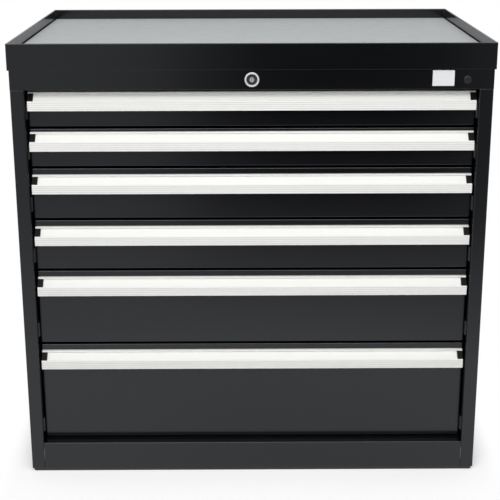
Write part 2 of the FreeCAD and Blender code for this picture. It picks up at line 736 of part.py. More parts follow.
def make_drawer_front(number):
    """The folded front: a shallow pan whose rim turns in against the tray."""
    front = new_body(f"drawer_{number}_front")
    height = f"pitch_{number} - front_gap"
    extrude(front, "Y", rectangle("-front_half", "0", "front_half", height), "0", "front_depth")
    cut(front, "Y", [rectangle("front_lip - front_half", "front_lip",
                               "front_half - front_lip", f"{height} - front_lip")],
        "front_sheet", "front_depth - front_sheet")
    cut(front, "Y", [rectangle("front_sheet - front_half", "front_sheet",
                               "front_half - front_sheet", f"{height} - front_sheet")],
        "front_sheet", "front_depth - 2 * front_sheet")
    middle = f"({height}) / 2"
    round_edges(front, "bend_radius", [("0", "0", "0"), ("0", "0", height),
                                       ("front_half", "0", middle), ("-front_half", "0", middle)])
    place(front, y="face_plane", z=f"bottom_{number}")
    keep(front, f"drawer_{number}_front")


def make_drawer_tray(number):
    """The folded tray behind the front, with a hemmed rim and the catch that the lock bar stops."""
    tray = new_body(f"drawer_{number}_tray")
    top = f"pitch_{number} - front_gap - tray_drop"
    rear = "front_depth + tray_length"
    extrude(tray, "Z", rectangle("-tray_half", "front_depth", "tray_half", rear),
            "tray_lift", f"{top} - tray_lift")
    cut(tray, "Z", [rectangle("2 * tray_sheet - tray_half", "front_depth + 2 * tray_sheet",
                              "tray_half - 2 * tray_sheet", f"{rear} - 2 * tray_sheet")],
        f"{top} - tray_hem", "tray_hem")
    cut(tray, "Z", [rectangle("tray_sheet - tray_half", "front_depth + tray_sheet",
                              "tray_half - tray_sheet", f"{rear} - tray_sheet")],
        "tray_lift + tray_sheet", f"{top} - tray_lift - tray_sheet - tray_hem")
    extrude(tray, "Y", rectangle("-(tray_half + catch_reach)", "catch_low",
                                 "tray_sheet / 2 - tray_half", "catch_low + catch_height"),
            "catch_front", "catch_sheet")
    place(tray, y="face_plane", z=f"bottom_{number}")
    keep(tray, f"drawer_{number}_tray")


def make_handle(number):
    """The aluminium handle profile with its caps and label; down and out from its top edge."""
    if number in SHALLOW_DRAWERS:
        top = f"bottom_{number} + handle_rise + handle_height"
    else:
        top = f"bottom_{number} + pitch_{number} - front_gap - handle_drop"
    grip_top = "ridge_low + ridge_round"

    section = [
        ("0", "0"),
        ("-lip_depth", "0"),
        ("-lip_depth", "-lip_height"),
        ("lip_undercut - lip_depth", "-lip_height"),
        ("-label_depth", "-label_drop"),
        ("-(label_out)", "-(label_low)"),
        ("-(label_out + ridge_step)", "-(ridge_low)"),
        ("-(label_out + ridge_step + ridge_width)", "-(ridge_low)"),
        ("-handle_depth", f"-({grip_top})"),
    ]
    for groove in GRIP_GROOVES:
        middle = f"handle_height - grip_groove_low - {len(GRIP_GROOVES) - groove} * grip_groove_pitch"
        upper = f"-({middle} - grip_groove_width / 2)"
        lower = f"-({middle} + grip_groove_width / 2)"
        section.extend([
            ("-handle_depth", upper),
            ("grip_groove_depth - handle_depth", upper),
            ("grip_groove_depth - handle_depth", lower),
            ("-handle_depth", lower),
        ])
    section.extend([
        ("-handle_depth", "-handle_height"),
        ("handle_wall - handle_depth", "-handle_height"),
        ("handle_wall - handle_depth", "handle_wall - handle_depth - inner_slope"),
        ("-handle_wall", "-handle_wall - inner_slope"),
        ("-handle_wall", "-handle_back"),
        ("0", "-handle_back"),
    ])
    handle = new_body(f"drawer_{number}_handle")
    extrude(handle, "X", section, "-handle_half", "2 * handle_half")
    round_edges(handle, "edge_round", [("0", "-lip_depth", "0"),
                                       ("0", "-handle_depth", "-handle_height"),
                                       ("0", "handle_wall - handle_depth", "-handle_height")])
    place(handle, y="face_plane", z=top)
    keep(handle, f"drawer_{number}_handle")

    cap = new_body(f"cap_{number}")
    cap_out = "label_out + ridge_step + ridge_width"
    extrude(cap, "X", [
        ("lip_undercut - lip_depth", "-lip_height"),
        ("-label_depth", "-label_drop"),
        ("-(label_out)", "-(label_low)"),
        ("-(label_out + ridge_step)", "-(ridge_low)"),
        (f"-({cap_out})", "-(ridge_low)"),
        (f"-({cap_out})", f"-(lip_height + {cap_out} - lip_depth)"),
        ("-lip_depth", "-lip_height"),
    ], "handle_half - cap_width", "cap_width")
    caps = pair(f"drawer_{number}_handle_caps", cap)
    place(caps, y="face_plane", z=top)

    label = new_body(f"drawer_{number}_label")
    half = "handle_half - cap_width - cap_seam"
    upper_out = "label_depth + label_margin"
    upper_down = "label_drop + label_margin"
    lower_out = "label_out - label_margin"
    lower_down = "label_low - label_margin"
    lift = "label_thickness / sqrt(2)"
    extrude(label, "X", [
        (f"-({upper_out})", f"-({upper_down})"),
        (f"-({lower_out})", f"-({lower_down})"),
        (f"-({lower_out} + {lift})", f"{lift} - ({lower_down})"),
        (f"-({upper_out} + {lift})", f"{lift} - ({upper_down})"),
    ], f"-({half})", f"2 * ({half})")
    place(label, y="face_plane", z=top)
    keep(label, f"drawer_{number}_label")


def make_drawer_slides(number):
    """The two moving members of a drawer's slides, nested in the cabinet channels."""
    play = "slide_wall + slide_play"
    middle = new_body(f"middle_{number}")
    extrude(middle, "Y",
            channel_section("middle_web", "middle_web - slide_wall", "channel_tip",
                            f"slide_lift + {play}", f"slide_top - ({play})", "slide_wall"),
            "front_depth + slide_start", "tray_length - middle_short")
    place(pair(f"drawer_{number}_middle_runners", middle), y="face_plane", z=f"bottom_{number}")

    runner = new_body(f"runner_{number}")
    extrude(runner, "Y",
            channel_section("tray_half", "tray_half + slide_wall", "runner_tip",
                            f"slide_lift + 2 * ({play})", f"slide_top - 2 * ({play})",
                            "slide_wall"),
            "front_depth", "tray_length")
    place(pair(f"drawer_{number}_runners", runner), y="face_plane", z=f"bottom_{number}")


def check_document():
    """Stop if a feature failed, a cut took nothing away or a piece has no sound solid."""
    for feature in doc.Objects:
        if "Invalid" in feature.State or "Error" in feature.State:
            raise RuntimeError(f"{feature.Label} failed")
        if feature.TypeId == "PartDesign::Pocket":
            if feature.Shape.Volume >= feature.BaseFeature.Shape.Volume - 1e-3:
                raise RuntimeError(f"{feature.Label} cuts nothing")
    for piece in nodes:
        if piece.Shape.isNull() or not piece.Shape.isValid() or not piece.Shape.Solids:
            raise RuntimeError(f"{piece.Label} has no sound solid")


def write_pieces():
    """Write each piece to its own file."""
    os.makedirs("parts", exist_ok=True)
    for piece in nodes:
        piece.Shape.exportStep(f"parts/{piece.Label}.step")
        print(piece.Label, len(piece.Shape.Solids), round(piece.Shape.Volume / 1000, 1), "cm3")
    print(len(nodes), "pieces")


sheet = fill_sheet()
make_side_panels()
make_back_panel()
make_base()
make_top_rails()
make_uprights()
make_cabinet_channels()
make_worktop()
make_lock()
make_lock_bar()
make_hole_plug()
for drawer in DRAWERS:
    make_drawer_front(drawer)
    make_drawer_tray(drawer)
    make_handle(drawer)
    make_drawer_slides(drawer)
doc.recompute()
check_document()
write_pieces()
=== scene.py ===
"""The looks of a six-drawer workshop cabinet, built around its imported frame.

Lengths are in metres in the cabinet's own frame: the origin is on the floor under the middle of the worktop,
+X points to the right of someone who faces the drawers, +Y to the back and +Z up.
"""
import logging
import math
from dataclasses import dataclass
from enum import Enum
from functools import cache
from typing import Any, Protocol, Sequence, Union

import bmesh
import bpy
from mathutils import Matrix, Vector


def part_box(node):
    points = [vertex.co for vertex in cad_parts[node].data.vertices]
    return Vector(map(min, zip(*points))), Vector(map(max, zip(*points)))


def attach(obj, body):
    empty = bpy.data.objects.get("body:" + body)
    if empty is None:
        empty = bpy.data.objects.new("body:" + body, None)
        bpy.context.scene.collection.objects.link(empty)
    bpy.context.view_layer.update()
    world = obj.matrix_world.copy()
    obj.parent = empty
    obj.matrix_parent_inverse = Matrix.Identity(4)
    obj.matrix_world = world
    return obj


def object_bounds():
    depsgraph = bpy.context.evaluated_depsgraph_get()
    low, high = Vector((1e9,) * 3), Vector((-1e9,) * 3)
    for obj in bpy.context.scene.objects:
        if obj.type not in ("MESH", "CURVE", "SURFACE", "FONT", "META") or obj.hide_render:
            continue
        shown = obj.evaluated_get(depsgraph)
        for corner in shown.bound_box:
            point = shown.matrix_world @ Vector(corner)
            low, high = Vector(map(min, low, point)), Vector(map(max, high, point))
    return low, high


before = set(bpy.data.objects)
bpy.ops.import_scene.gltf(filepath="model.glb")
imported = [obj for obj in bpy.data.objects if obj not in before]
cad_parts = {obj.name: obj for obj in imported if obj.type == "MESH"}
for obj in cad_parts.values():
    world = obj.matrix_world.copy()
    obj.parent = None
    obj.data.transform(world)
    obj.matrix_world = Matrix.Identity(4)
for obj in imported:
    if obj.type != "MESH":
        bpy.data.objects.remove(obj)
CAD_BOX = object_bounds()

log = logging.getLogger("cabinet")

DRAWER_COUNT = 6
SMOOTH_ANGLE = math.radians(30)
# Points round the head of a rivet or screw.
HEAD_STEPS = 20
# Samples for the rounded edges of folded sheet.
EDGE_SAMPLES = 6
WHITE = (1.0, 1.0, 1.0)

Colour = tuple[float, float, float]
Place = tuple[float, float, float]
Waves = tuple[float, float, float]
Pair = tuple[float, float]
Number = Union["Value", float]
Feed = Union["Value", float, Sequence[float]]


class Axis(Enum):
    """The parts of a vector."""

    X = "X"
    Y = "Y"
    Z = "Z"


class Ray(Enum):
    """The kinds of ray that the studio tells apart."""

    CAMERA = "Is Camera Ray"
    GLOSSY = "Is Glossy Ray"


class Value:
    """An output socket of a node graph that takes part in Python arithmetic."""

    def __init__(self, graph: "Graph", socket: bpy.types.NodeSocket | None) -> None:
        """Wraps one socket, or None for a node without outputs."""
        self.graph = graph
        self.socket = socket

    def __add__(self, other: Number) -> "Value":
        """The sum of two values."""
        return self.graph.maths("ADD", self, other)

    def __radd__(self, other: Number) -> "Value":
        """The sum of a number and this value."""
        return self.graph.maths("ADD", other, self)

    def __sub__(self, other: Number) -> "Value":
        """The difference of two values."""
        return self.graph.maths("SUBTRACT", self, other)

    def __rsub__(self, other: Number) -> "Value":
        """A number less this value."""
        return self.graph.maths("SUBTRACT", other, self)

    def __mul__(self, other: Number) -> "Value":
        """The product of two values."""
        return self.graph.maths("MULTIPLY", self, other)

    def __rmul__(self, other: Number) -> "Value":
        """The product of a number and this value."""
        return self.graph.maths("MULTIPLY", other, self)

    def __truediv__(self, other: Number) -> "Value":
        """The quotient of two values."""
        return self.graph.maths("DIVIDE", self, other)

    def __rtruediv__(self, other: Number) -> "Value":
        """A number divided by this value."""
        return self.graph.maths("DIVIDE", other, self)

    def __pow__(self, other: Number) -> "Value":
        """This value raised to a power."""
        return self.graph.maths("POWER", self, other)

    def __rpow__(self, other: Number) -> "Value":
        """A number raised to this value."""
        return self.graph.maths("POWER", other, self)

    def toward(self, end: Number, amount: "Value") -> "Value":
        """This value where amount is 0, and end where it is 1."""
        return self + (end - self) * amount

    def swing(self, spread: float) -> "Value":
        """This noise, which lies around 0.5, made to swing around 0 over a spread."""
        return (self - 0.5) * spread


class Graph:
    """The node tree of a material or a world, written as expressions."""

    def __init__(self, owner: bpy.types.Material | bpy.types.World) -> None:
        """Starts with an empty tree.

        Args:
            owner: The material or world whose tree is written.
        """
        owner.use_nodes = True
        self.tree = owner.node_tree
        self.tree.nodes.clear()

    def node(
        self,
        kind: str,
        settings: dict[str, Any] | None = None,
        feeds: dict[str | int, Feed] | None = None,
        output: str | int = 0,
    ) -> Value:
        """Adds a node.

        Args:
            kind: The node's type, such as ShaderNodeMath.
            settings: The node's own settings, set first. "stops" are a colour ramp's stops.
            feeds: Numbers, colours or values for the node's inputs, by name or place.
            output: The output that the caller wants.

        Returns:
            The wanted output.
        """
        made = self.tree.nodes.new(kind)
        for name, setting in (settings or {}).items():
            if name == "stops":
                self._set_stops(made.color_ramp, setting)
            else:
                setattr(made, name, setting)
        for name, feed in (feeds or {}).items():
            self._feed(made.inputs[name], feed)
        return Value(self, made.outputs[output] if len(made.outputs) else None)

    @staticmethod
    def _set_stops(ramp: bpy.types.ColorRamp, stops: Sequence[Pair]) -> None:
        """Gives a colour ramp its stops.

        Args:
            ramp: A new ramp with two stops.
            stops: Two or more stops in order, each a place and a grey level.
        """
        while len(ramp.elements) < len(stops):
            ramp.elements.new(1.0)
        for element, (place, level) in zip(ramp.elements, stops):
            element.position = place
            element.color = (level, level, level, 1.0)

    def _feed(self, socket: bpy.types.NodeSocket, feed: Feed) -> None:
        """Links a value to an input, or sets the input to a number, vector or colour.

        Args:
            socket: The input.
            feed: What goes into it. A colour of three parts becomes opaque.
        """
        if isinstance(feed, Value):
            self.tree.links.new(feed.socket, socket)
        elif socket.type == "RGBA" and len(feed) == 3:
            socket.default_value = (*feed, 1.0)
        else:
            socket.default_value = feed

    def maths(self, operation: str, *feeds: Number) -> Value:
        """One Math operation on one or two numbers."""
        return self.node("ShaderNodeMath", {"operation": operation}, dict(enumerate(feeds)))

    def place(self) -> Value:
        """The point of the surface in the cabinet's frame, in metres."""
        return self.node("ShaderNodeTexCoord", output="Object")

    def part(self, vector: Value, axis: Axis) -> Value:
        """One part of a vector."""
        return self.node("ShaderNodeSeparateXYZ", feeds={"Vector": vector}, output=axis.value)

    def noise(self, vector: Value, waves: float, detail: float = 2.0) -> Value:
        """Soft noise around 0.5, by its waves to the metre and the number of finer layers on it."""
        return self.node("ShaderNodeTexNoise", feeds={"Vector": vector, "Scale": waves, "Detail": detail})

    def streaks(self, vector: Value, waves: Waves, detail: float = 2.0) -> Value:
        """Soft noise around 0.5 whose waves to the metre differ along X, Y and Z."""
        stretched = self.node("ShaderNodeVectorMath", {"operation": "MULTIPLY"}, {0: vector, 1: waves})
        return self.noise(stretched, 1.0, detail)

    def cells(self, vector: Value, waves: float) -> Value:
        """The distance to the nearest cell's middle, by the number of cells to the metre."""
        return self.node("ShaderNodeTexVoronoi", feeds={"Vector": vector, "Scale": waves})

    def ramp(self, value: Value, low: float, high: float, start: float = 0.0, end: float = 1.0) -> Value:
        """A smooth rise or fall.

        Args:
            value: What the ramp follows.
            low: Where it starts. It may lie above high.
            high: Where it ends.
            start: The result at low and on its far side.
            end: The result at high and on its far side.

        Returns:
            The ramp.
        """
        settings = {"interpolation_type": "SMOOTHSTEP"}
        feeds = {"Value": value, "From Min": low, "From Max": high, "To Min": start, "To Max": end}
        return self.node("ShaderNodeMapRange", settings, feeds)

    def blend(self, factor: Value, first: Feed, second: Feed) -> Value:
        """The first colour where factor is 0, and the second where it is 1."""
        return self.node("ShaderNodeMix", {"data_type": "RGBA"}, {0: factor, 6: first, 7: second}, output=2)

    def soft_edges(self, radius: float) -> Value:
        """A normal that rounds the sheet's folded and cut edges by a radius in metres."""
        return self.node("ShaderNodeBevel", {"samples": EDGE_SAMPLES}, {"Radius": radius})

    def bump(self, height: Value, depth: float, under: Value | None = None) -> Value:
        """A normal that follows a height.

        Args:
            height: The height, from 0 to 1.
            depth: What a height of 1 stands for, in metres.
            under: A normal that this one is added to.

        Returns:
            The normal.
        """
        feeds: dict[str | int, Feed] = {"Height": height, "Distance": depth, "Strength": 1.0}
        if under is not None:
            feeds["Normal"] = under
        return self.node("ShaderNodeBump", feeds=feeds)

    def surface(self, **feeds: Feed) -> Value:
        """The main shader. A keyword such as base_color stands for the socket Base Color."""
        named = {key.replace("_", " ").title().replace("Ior", "IOR"): feed for key, feed in feeds.items()}
        return self.node("ShaderNodeBsdfPrincipled", feeds=named)

    def mixed(self, factor: Value, first: Value, second: Value) -> Value:
        """The first shader where factor is 0, and the second where it is 1."""
        return self.node("ShaderNodeMixShader", feeds={0: factor, 1: first, 2: second})

    def light(self, strength: Number) -> Value:
        """A surface that sends out white light."""
        return self.node("ShaderNodeEmission", feeds={"Color": WHITE, "Strength": strength})

    def ray(self, kind: Ray) -> Value:
        """1 for one kind of ray, and 0 for the others."""
        return self.node("ShaderNodeLightPath", output=kind.value)


@dataclass(frozen=True)
class Finish:
    """A surface finish, with the name of its material and the material slot of the pieces that have it."""

    name: str
    slot: str

    def shader(self, graph: Graph) -> Value:
        """Writes the finish's nodes and returns its shader."""
        raise NotImplementedError

    @cache
    def material(self) -> bpy.types.Material:
        """Makes the finish's material once, and gives the same one after that.

        Returns:
            The material.
        """
        made = bpy.data.materials.new(self.name)
        graph = Graph(made)
        graph.node("ShaderNodeOutputMaterial", feeds={"Surface": self.shader(graph)})
        return made

    def paint(self, piece: bpy.types.Object) -> bpy.types.Object:
        """Gives the finish to every material slot of a piece.

        Args:
            piece: A mesh piece, with or without material slots.

        Returns:
            The piece.
        """
        if not piece.material_slots:
            piece.data.materials.append(self.material())
        for material_slot in piece.material_slots:
            material_slot.material = self.material()
        return piece


@dataclass(frozen=True)
class PowderCoat(Finish):
    """Semi-gloss black powder coat: a deep black under a smooth skin with a fine orange peel."""

    colour: Colour = (0.0022, 0.0025, 0.0033)
    dulled: Colour = (0.0032, 0.0035, 0.0045)
    tint: Colour = (0.93, 0.95, 1.0)
    roughness: float = 0.16
    roughness_spread: float = 0.05
    cloud_waves: float = 7.0
    peel_waves: float = 420.0
    peel_depth: float = 0.000012
    edge_radius: float = 0.0014

    def shader(self, graph: Graph) -> Value:
        """A dark glossy skin whose gloss varies in soft clouds.

        Args:
            graph: The material's graph.

        Returns:
            The skin's shader.
        """
        place = graph.place()
        cloud = graph.noise(place, self.cloud_waves, detail=4.0)
        peel = graph.noise(place, self.peel_waves, detail=1.0)
        return graph.surface(
            base_color=graph.blend(cloud, self.colour, self.dulled),
            roughness=self.roughness + cloud.swing(self.roughness_spread),
            ior=1.5,
            specular_tint=self.tint,
            normal=graph.bump(peel, self.peel_depth, graph.soft_edges(self.edge_radius)),
        )


@dataclass(frozen=True)
class AnodisedAluminium(Finish):
    """Satin silver anodised aluminium with fine drawing lines along X, and painted shade in the grooves of
    its face.
    """

    face: float = 0.0
    colour: Colour = (0.95, 0.945, 0.92)
    shade: Colour = (0.90, 0.895, 0.87)
    # The darker colour painted in the grooves as shade.
    groove_shade: Colour = (0.74, 0.74, 0.73)
    # How far behind the face the painted shade in the grooves comes in and goes out.
    groove_starts: Pair = (0.0002, 0.0006)
    groove_ends: Pair = (0.0016, 0.0012)
    metallic: float = 0.08
    roughness: float = 0.5
    line_waves: Waves = (0.2, 1400.0, 1400.0)
    line_depth: float = 0.000002
    line_spread: float = 0.06
    bloom_waves: float = 14.0
    bloom_spread: float = 0.03

    def shader(self, graph: Graph) -> Value:
        """A soft metal whose lines run along the profile, with painted shade in its grooves.

        Args:
            graph: The material's graph.

        Returns:
            The metal's shader.
        """
        place = graph.place()
        lines = graph.streaks(place, self.line_waves)
        bloom = graph.noise(place, self.bloom_waves, detail=3.0)
        depth = graph.part(place, Axis.Y) - self.face
        # Painted shade: the grooves' faces, which lie just behind the front, are darkened.
        groove_shade_mask = graph.ramp(depth, *self.groove_starts) * graph.ramp(depth, *self.groove_ends)
        plain = graph.blend(lines, self.shade, self.colour)
        return graph.surface(
            base_color=graph.blend(groove_shade_mask, plain, self.groove_shade),
            metallic=self.metallic,
            roughness=self.roughness + bloom.swing(self.bloom_spread) + lines.swing(self.line_spread),
            normal=graph.bump(lines, self.line_depth),
        )


@dataclass(frozen=True)
class ZincPlate(Finish):
    """Bright zinc plated steel with faint rolling lines along Y."""

    colour: Colour = (0.30, 0.305, 0.31)
    shade: Colour = (0.20, 0.205, 0.215)
    roughness: float = 0.34
    roughness_spread: float = 0.2
    cloud_waves: float = 45.0
    roll_waves: Waves = (900.0, 12.0, 900.0)
    roll_depth: float = 0.000006

    def shader(self, graph: Graph) -> Value:
        """A clouded metal with rolling lines.

        Args:
            graph: The material's graph.

        Returns:
            The metal's shader.
        """
        place = graph.place()
        cloud = graph.noise(place, self.cloud_waves, detail=4.0)
        rolled = graph.streaks(place, self.roll_waves)
        return graph.surface(
            base_color=graph.blend(cloud, self.shade, self.colour),
            metallic=1.0,
            roughness=self.roughness + cloud.swing(self.roughness_spread),
            normal=graph.bump(rolled, self.roll_depth),
        )


@dataclass(frozen=True)
class RubberMat(Finish):
    """Light grey rubber sheet with a fine pebbled face."""

    colour: Colour = (0.432, 0.45, 0.46)
    shade: Colour = (0.397, 0.412, 0.422)
    roughness: float = 0.62
    roughness_spread: float = 0.1
    mottle_waves: float = 60.0
    mottle_edges: Pair = (0.35, 0.65)
    pebble_waves: float = 650.0
    pebble_depth: float = 0.00012

    def shader(self, graph: Graph) -> Value:
        """A matte sheet with pebbles and a little mottling.

        Args:
            graph: The material's graph.

        Returns:
            The sheet's shader.
        """
        place = graph.place()
        pebbles = graph.cells(place, self.pebble_waves)
        mottle = graph.noise(place, self.mottle_waves, detail=5.0)
        return graph.surface(
            base_color=graph.blend(graph.ramp(mottle, *self.mottle_edges), self.shade, self.colour),
            roughness=self.roughness + mottle.swing(self.roughness_spread),
            normal=graph.bump(pebbles, self.pebble_depth),
        )


@dataclass(frozen=True)
class MouldedPlastic(Finish):
    """Matte black moulded plastic with a spark-eroded grain."""

    colour: Colour = (0.006, 0.0058, 0.0055)
    shade: Colour = (0.004, 0.0038, 0.0036)
    roughness: float = 0.42
    roughness_spread: float = 0.15
    gloss: float = 0.12
    grain_waves: float = 1500.0
    grain_depth: float = 0.00002

    def shader(self, graph: Graph) -> Value:
        """A dark matte skin with a fine grain.

        Args:
            graph: The material's graph.

        Returns:
            The skin's shader.
        """
        place = graph.place()
        grain = graph.noise(place, self.grain_waves, detail=3.0)
        return graph.surface(
            base_color=graph.blend(grain, self.shade, self.colour),
            roughness=self.roughness + grain.swing(self.roughness_spread),
            ior=1.48,
            specular_ior_level=self.gloss,
            normal=graph.bump(grain, self.grain_depth),
        )


@dataclass(frozen=True)
class LabelStrip(Finish):
    """Plain white label strip behind a clear film."""

    colour: Colour = (0.86, 0.86, 0.83)
    shade: Colour = (0.83, 0.83, 0.80)
    roughness: float = 0.36
    roughness_spread: float = 0.1
    fibre_waves: Waves = (90.0, 400.0, 400.0)
    fibre_depth: float = 0.000004

    def shader(self, graph: Graph) -> Value:
        """White paper with soft fibres under a satin film.

        Args:
            graph: The material's graph.

        Returns:
            The strip's shader.
        """
        place = graph.place()
        fibres = graph.streaks(place, self.fibre_waves, detail=4.0)
        return graph.surface(
            base_color=graph.blend(fibres, self.shade, self.colour),
            roughness=self.roughness + fibres.swing(self.roughness_spread),
            ior=1.45,
            normal=graph.bump(fibres, self.fibre_depth),
        )


@dataclass(frozen=True)
class TurnedNickel(Finish):
    """Bright nickel plate over turned rings round the lock's axis, with painted shade where it lies behind
    its face.
    """

    centre: Pair = (0.0, 0.0)
    face: float = 0.0
    colour: Colour = (0.87, 0.87, 0.86)
    # The darker grey of the plug inside the outer ring.
    inner_grey: Colour = (0.20, 0.20, 0.205)
    # Painted shade in the recesses and the key slot.
    recess_shade: Colour = (0.02, 0.02, 0.022)
    # How far behind the face the painted shade begins and is full.
    recess_shade_edges: Pair = (0.0006, 0.0016)
    # The radii between which the bright ring turns into its darker grey inside.
    recess_edges: Pair = (0.0098, 0.0094)
    # Half sizes of the painted highlight round the key slot, and where it ends, as squares of shares of them.
    key_half_width: float = 0.0026
    key_half_height: float = 0.0043
    key_edges: Pair = (0.85, 1.15)
    ring_pitch: float = 0.0006
    ring_depth: float = 0.00001
    metallic: float = 0.6
    roughness: float = 0.35
    roughness_spread: float = 0.1
    cloud_waves: float = 300.0

    def shader(self, graph: Graph) -> Value:
        """Metal rings, darker grey inside the outer ring, with a painted highlight round the key slot and
        painted shade in its depth.

        Args:
            graph: The material's graph.

        Returns:
            The metal's shader.
        """
        place = graph.place()
        across = graph.part(place, Axis.X) - self.centre[0]
        up = graph.part(place, Axis.Z) - self.centre[1]
        radius = (across * across + up * up) ** 0.5
        rings = graph.maths("SINE", radius * (math.tau / self.ring_pitch))
        inside = graph.ramp(radius, *self.recess_edges)
        wide = across / self.key_half_width
        high = up / self.key_half_height
        # Painted highlight: the plug keeps its bright colour round the key slot.
        outside_key_highlight = graph.ramp(wide * wide + high * high, *self.key_edges)
        # Painted shade: whatever lies behind the plug's face darkens with its depth.
        depth = graph.ramp(graph.part(place, Axis.Y) - self.face, *self.recess_shade_edges)
        cloud = graph.noise(place, self.cloud_waves, detail=3.0)
        plain = graph.blend(inside * outside_key_highlight, self.colour, self.inner_grey)
        return graph.surface(
            base_color=graph.blend(depth, plain, self.recess_shade),
            metallic=self.metallic,
            roughness=self.roughness + cloud.swing(self.roughness_spread),
            normal=graph.bump(rings * 0.5 + 0.5, self.ring_depth),
        )


@dataclass(frozen=True)
class PlateFilm(Finish):
    """Plain white satin film on a thin plate."""

    colour: Colour = (0.80, 0.81, 0.82)
    shade: Colour = (0.76, 0.77, 0.78)
    roughness: float = 0.35
    roughness_spread: float = 0.1
    cloud_waves: float = 160.0
    film_waves: float = 900.0
    film_depth: float = 0.000006

    def shader(self, graph: Graph) -> Value:
        """A satin film with a faint cloud.

        Args:
            graph: The material's graph.

        Returns:
            The film's shader.
        """
        place = graph.place()
        cloud = graph.noise(place, self.cloud_waves, detail=4.0)
        return graph.surface(
            base_color=graph.blend(cloud, self.shade, self.colour),
            roughness=self.roughness + cloud.swing(self.roughness_spread),
            ior=1.45,
            normal=graph.bump(graph.noise(place, self.film_waves), self.film_depth),
        )


def front_of(name: str) -> float:
    """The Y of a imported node's front."""
    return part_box(name)[0].y


def middle_of(name: str) -> Pair:
    """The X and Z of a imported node's middle."""
    low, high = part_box(name)
    return (low.x + high.x) / 2, (low.z + high.z) / 2


class Finishes(Enum):
    """The cabinet's finishes."""

    BLACK_COAT = PowderCoat("powder_coat", "black_coat")
    BASE_COAT = PowderCoat("base_coat", "black_coat", dulled=(0.03, 0.031, 0.028), roughness=0.4)
    ALUMINIUM = AnodisedAluminium("satin_anodised", "anodised_aluminium", face=front_of("drawer_1_handle"))
    ZINC = ZincPlate("bright_zinc", "zinc_steel")
    # A darker copy of the bright zinc: painted shade for the channels that lie in the carcass's shadow.
    SHADED_ZINC = ZincPlate(
        "shaded_zinc",
        "zinc_steel",
        colour=(0.12, 0.12, 0.125),
        shade=(0.08, 0.08, 0.085),
        roughness=0.45,
    )
    NICKEL = TurnedNickel(
        "turned_nickel",
        "lock_chrome",
        centre=middle_of("lock_plug"),
        face=front_of("lock_plug"),
    )
    MAT = RubberMat("pebbled_mat", "mat_grey")
    PLASTIC = MouldedPlastic("moulded_plastic", "black_plastic")
    STOPPER = MouldedPlastic("stopper_plastic", "black_plastic", gloss=0.45)
    LABEL = LabelStrip("label_strip", "label_white")
    PLATE = PlateFilm("plate_film", "label_white")


def paint_nodes(finish: Finishes, *names: str) -> list[bpy.types.Object]:
    """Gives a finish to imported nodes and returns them."""
    return [finish.value.paint(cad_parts[name]) for name in names]


def add_object(name: str, data: bpy.types.ID) -> bpy.types.Object:
    """Puts a mesh, a camera or a lamp into the scene.

    Args:
        name: The new object's name.
        data: The mesh, camera or lamp.

    Returns:
        The new object.
    """
    made = bpy.data.objects.new(name, data)
    bpy.context.scene.collection.objects.link(made)
    return made


class MeshMaker:
    """Collects turned and stacked shapes into one mesh, then makes a piece of it."""

    def __init__(self, name: str) -> None:
        """Starts an empty mesh for a piece of this name."""
        self.name = name
        self.mesh = bmesh.new()

    def _wall(self, low: Sequence[bmesh.types.BMVert], high: Sequence[bmesh.types.BMVert]) -> None:
        """Adds the faces between two rings.

        Args:
            low: The points of the first ring.
            high: The points of the second ring, as many.
        """
        for step, point in enumerate(low):
            after = (step + 1) % len(low)
            self.mesh.faces.new((point, low[after], high[after], high[step]))

    def turned(self, profile: Sequence[Pair], centre: Vector, axis: Vector) -> None:
        """Adds a shape turned about an axis.

        Args:
            profile: Points (radius, height) from the rim to the top; the top lies on the axis.
            centre: The foot of the axis.
            axis: The axis' direction.
        """
        turn = axis.to_track_quat("Z", "Y").to_matrix()
        rings = []
        for radius, height in profile[:-1]:
            ring = []
            for step in range(HEAD_STEPS):
                angle = math.tau * step / HEAD_STEPS
                point = Vector((radius * math.cos(angle), radius * math.sin(angle), height))
                ring.append(self.mesh.verts.new(centre + turn @ point))
            rings.append(ring)
        top = self.mesh.verts.new(centre + turn @ Vector((0.0, 0.0, profile[-1][1])))
        for low, high in zip(rings, rings[1:]):
            self._wall(low, high)
        for step, point in enumerate(rings[-1]):
            self.mesh.faces.new((point, rings[-1][(step + 1) % HEAD_STEPS], top))
        self.mesh.faces.new(list(reversed(rings[0])))

    def stacked(self, outlines: Sequence[Sequence[Vector]]) -> None:
        """Joins outlines into a closed shape.

        Args:
            outlines: The outlines from foot to top, with as many points each.
        """
        rings = [[self.mesh.verts.new(point) for point in outline] for outline in outlines]
        for low, high in zip(rings, rings[1:]):
            self._wall(low, high)
        self.mesh.faces.new(list(reversed(rings[0])))
        self.mesh.faces.new(rings[-1])

    def piece(self, finish: Finishes, body: str) -> bpy.types.Object:
        """Makes the piece, gives it its finish and lets it ride on a body.

        Args:
            finish: The piece's finish.
            body: The body that carries the piece.

        Returns:
            The piece.
        """
        bmesh.ops.recalc_face_normals(self.mesh, faces=self.mesh.faces)
        data = bpy.data.meshes.new(self.name)
        self.mesh.to_mesh(data)
        self.mesh.free()
        made = add_object(self.name, data)
        for polygon in data.polygons:
            polygon.use_smooth = True
        data.set_sharp_from_angle(angle=SMOOTH_ANGLE)
        finish.value.paint(made)
        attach(made, body)
        return made


def dome(radius: float, height: float, rim: float, steps: int = 5) -> list[Pair]:
    """The profile of a domed head.

    Args:
        radius: The head's radius.
        height: The head's height.
        rim: Height of the straight rim under the dome.
        steps: Points along the dome.

    Returns:
        Points (radius, height) from the rim's foot to the top.
    """
    points = [(radius, 0.0)]
    for step in range(steps + 1):
        angle = math.pi / 2 * step / steps
        points.append((radius * math.cos(angle), rim + (height - rim) * math.sin(angle)))
    points[-1] = (0.0, height)
    return points


class SubAssembly(Protocol):
    """A part of the cabinet that dresses its own pieces."""

    def dress(self) -> list[bpy.types.Object]:
        """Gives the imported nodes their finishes, makes the added pieces and returns them all."""


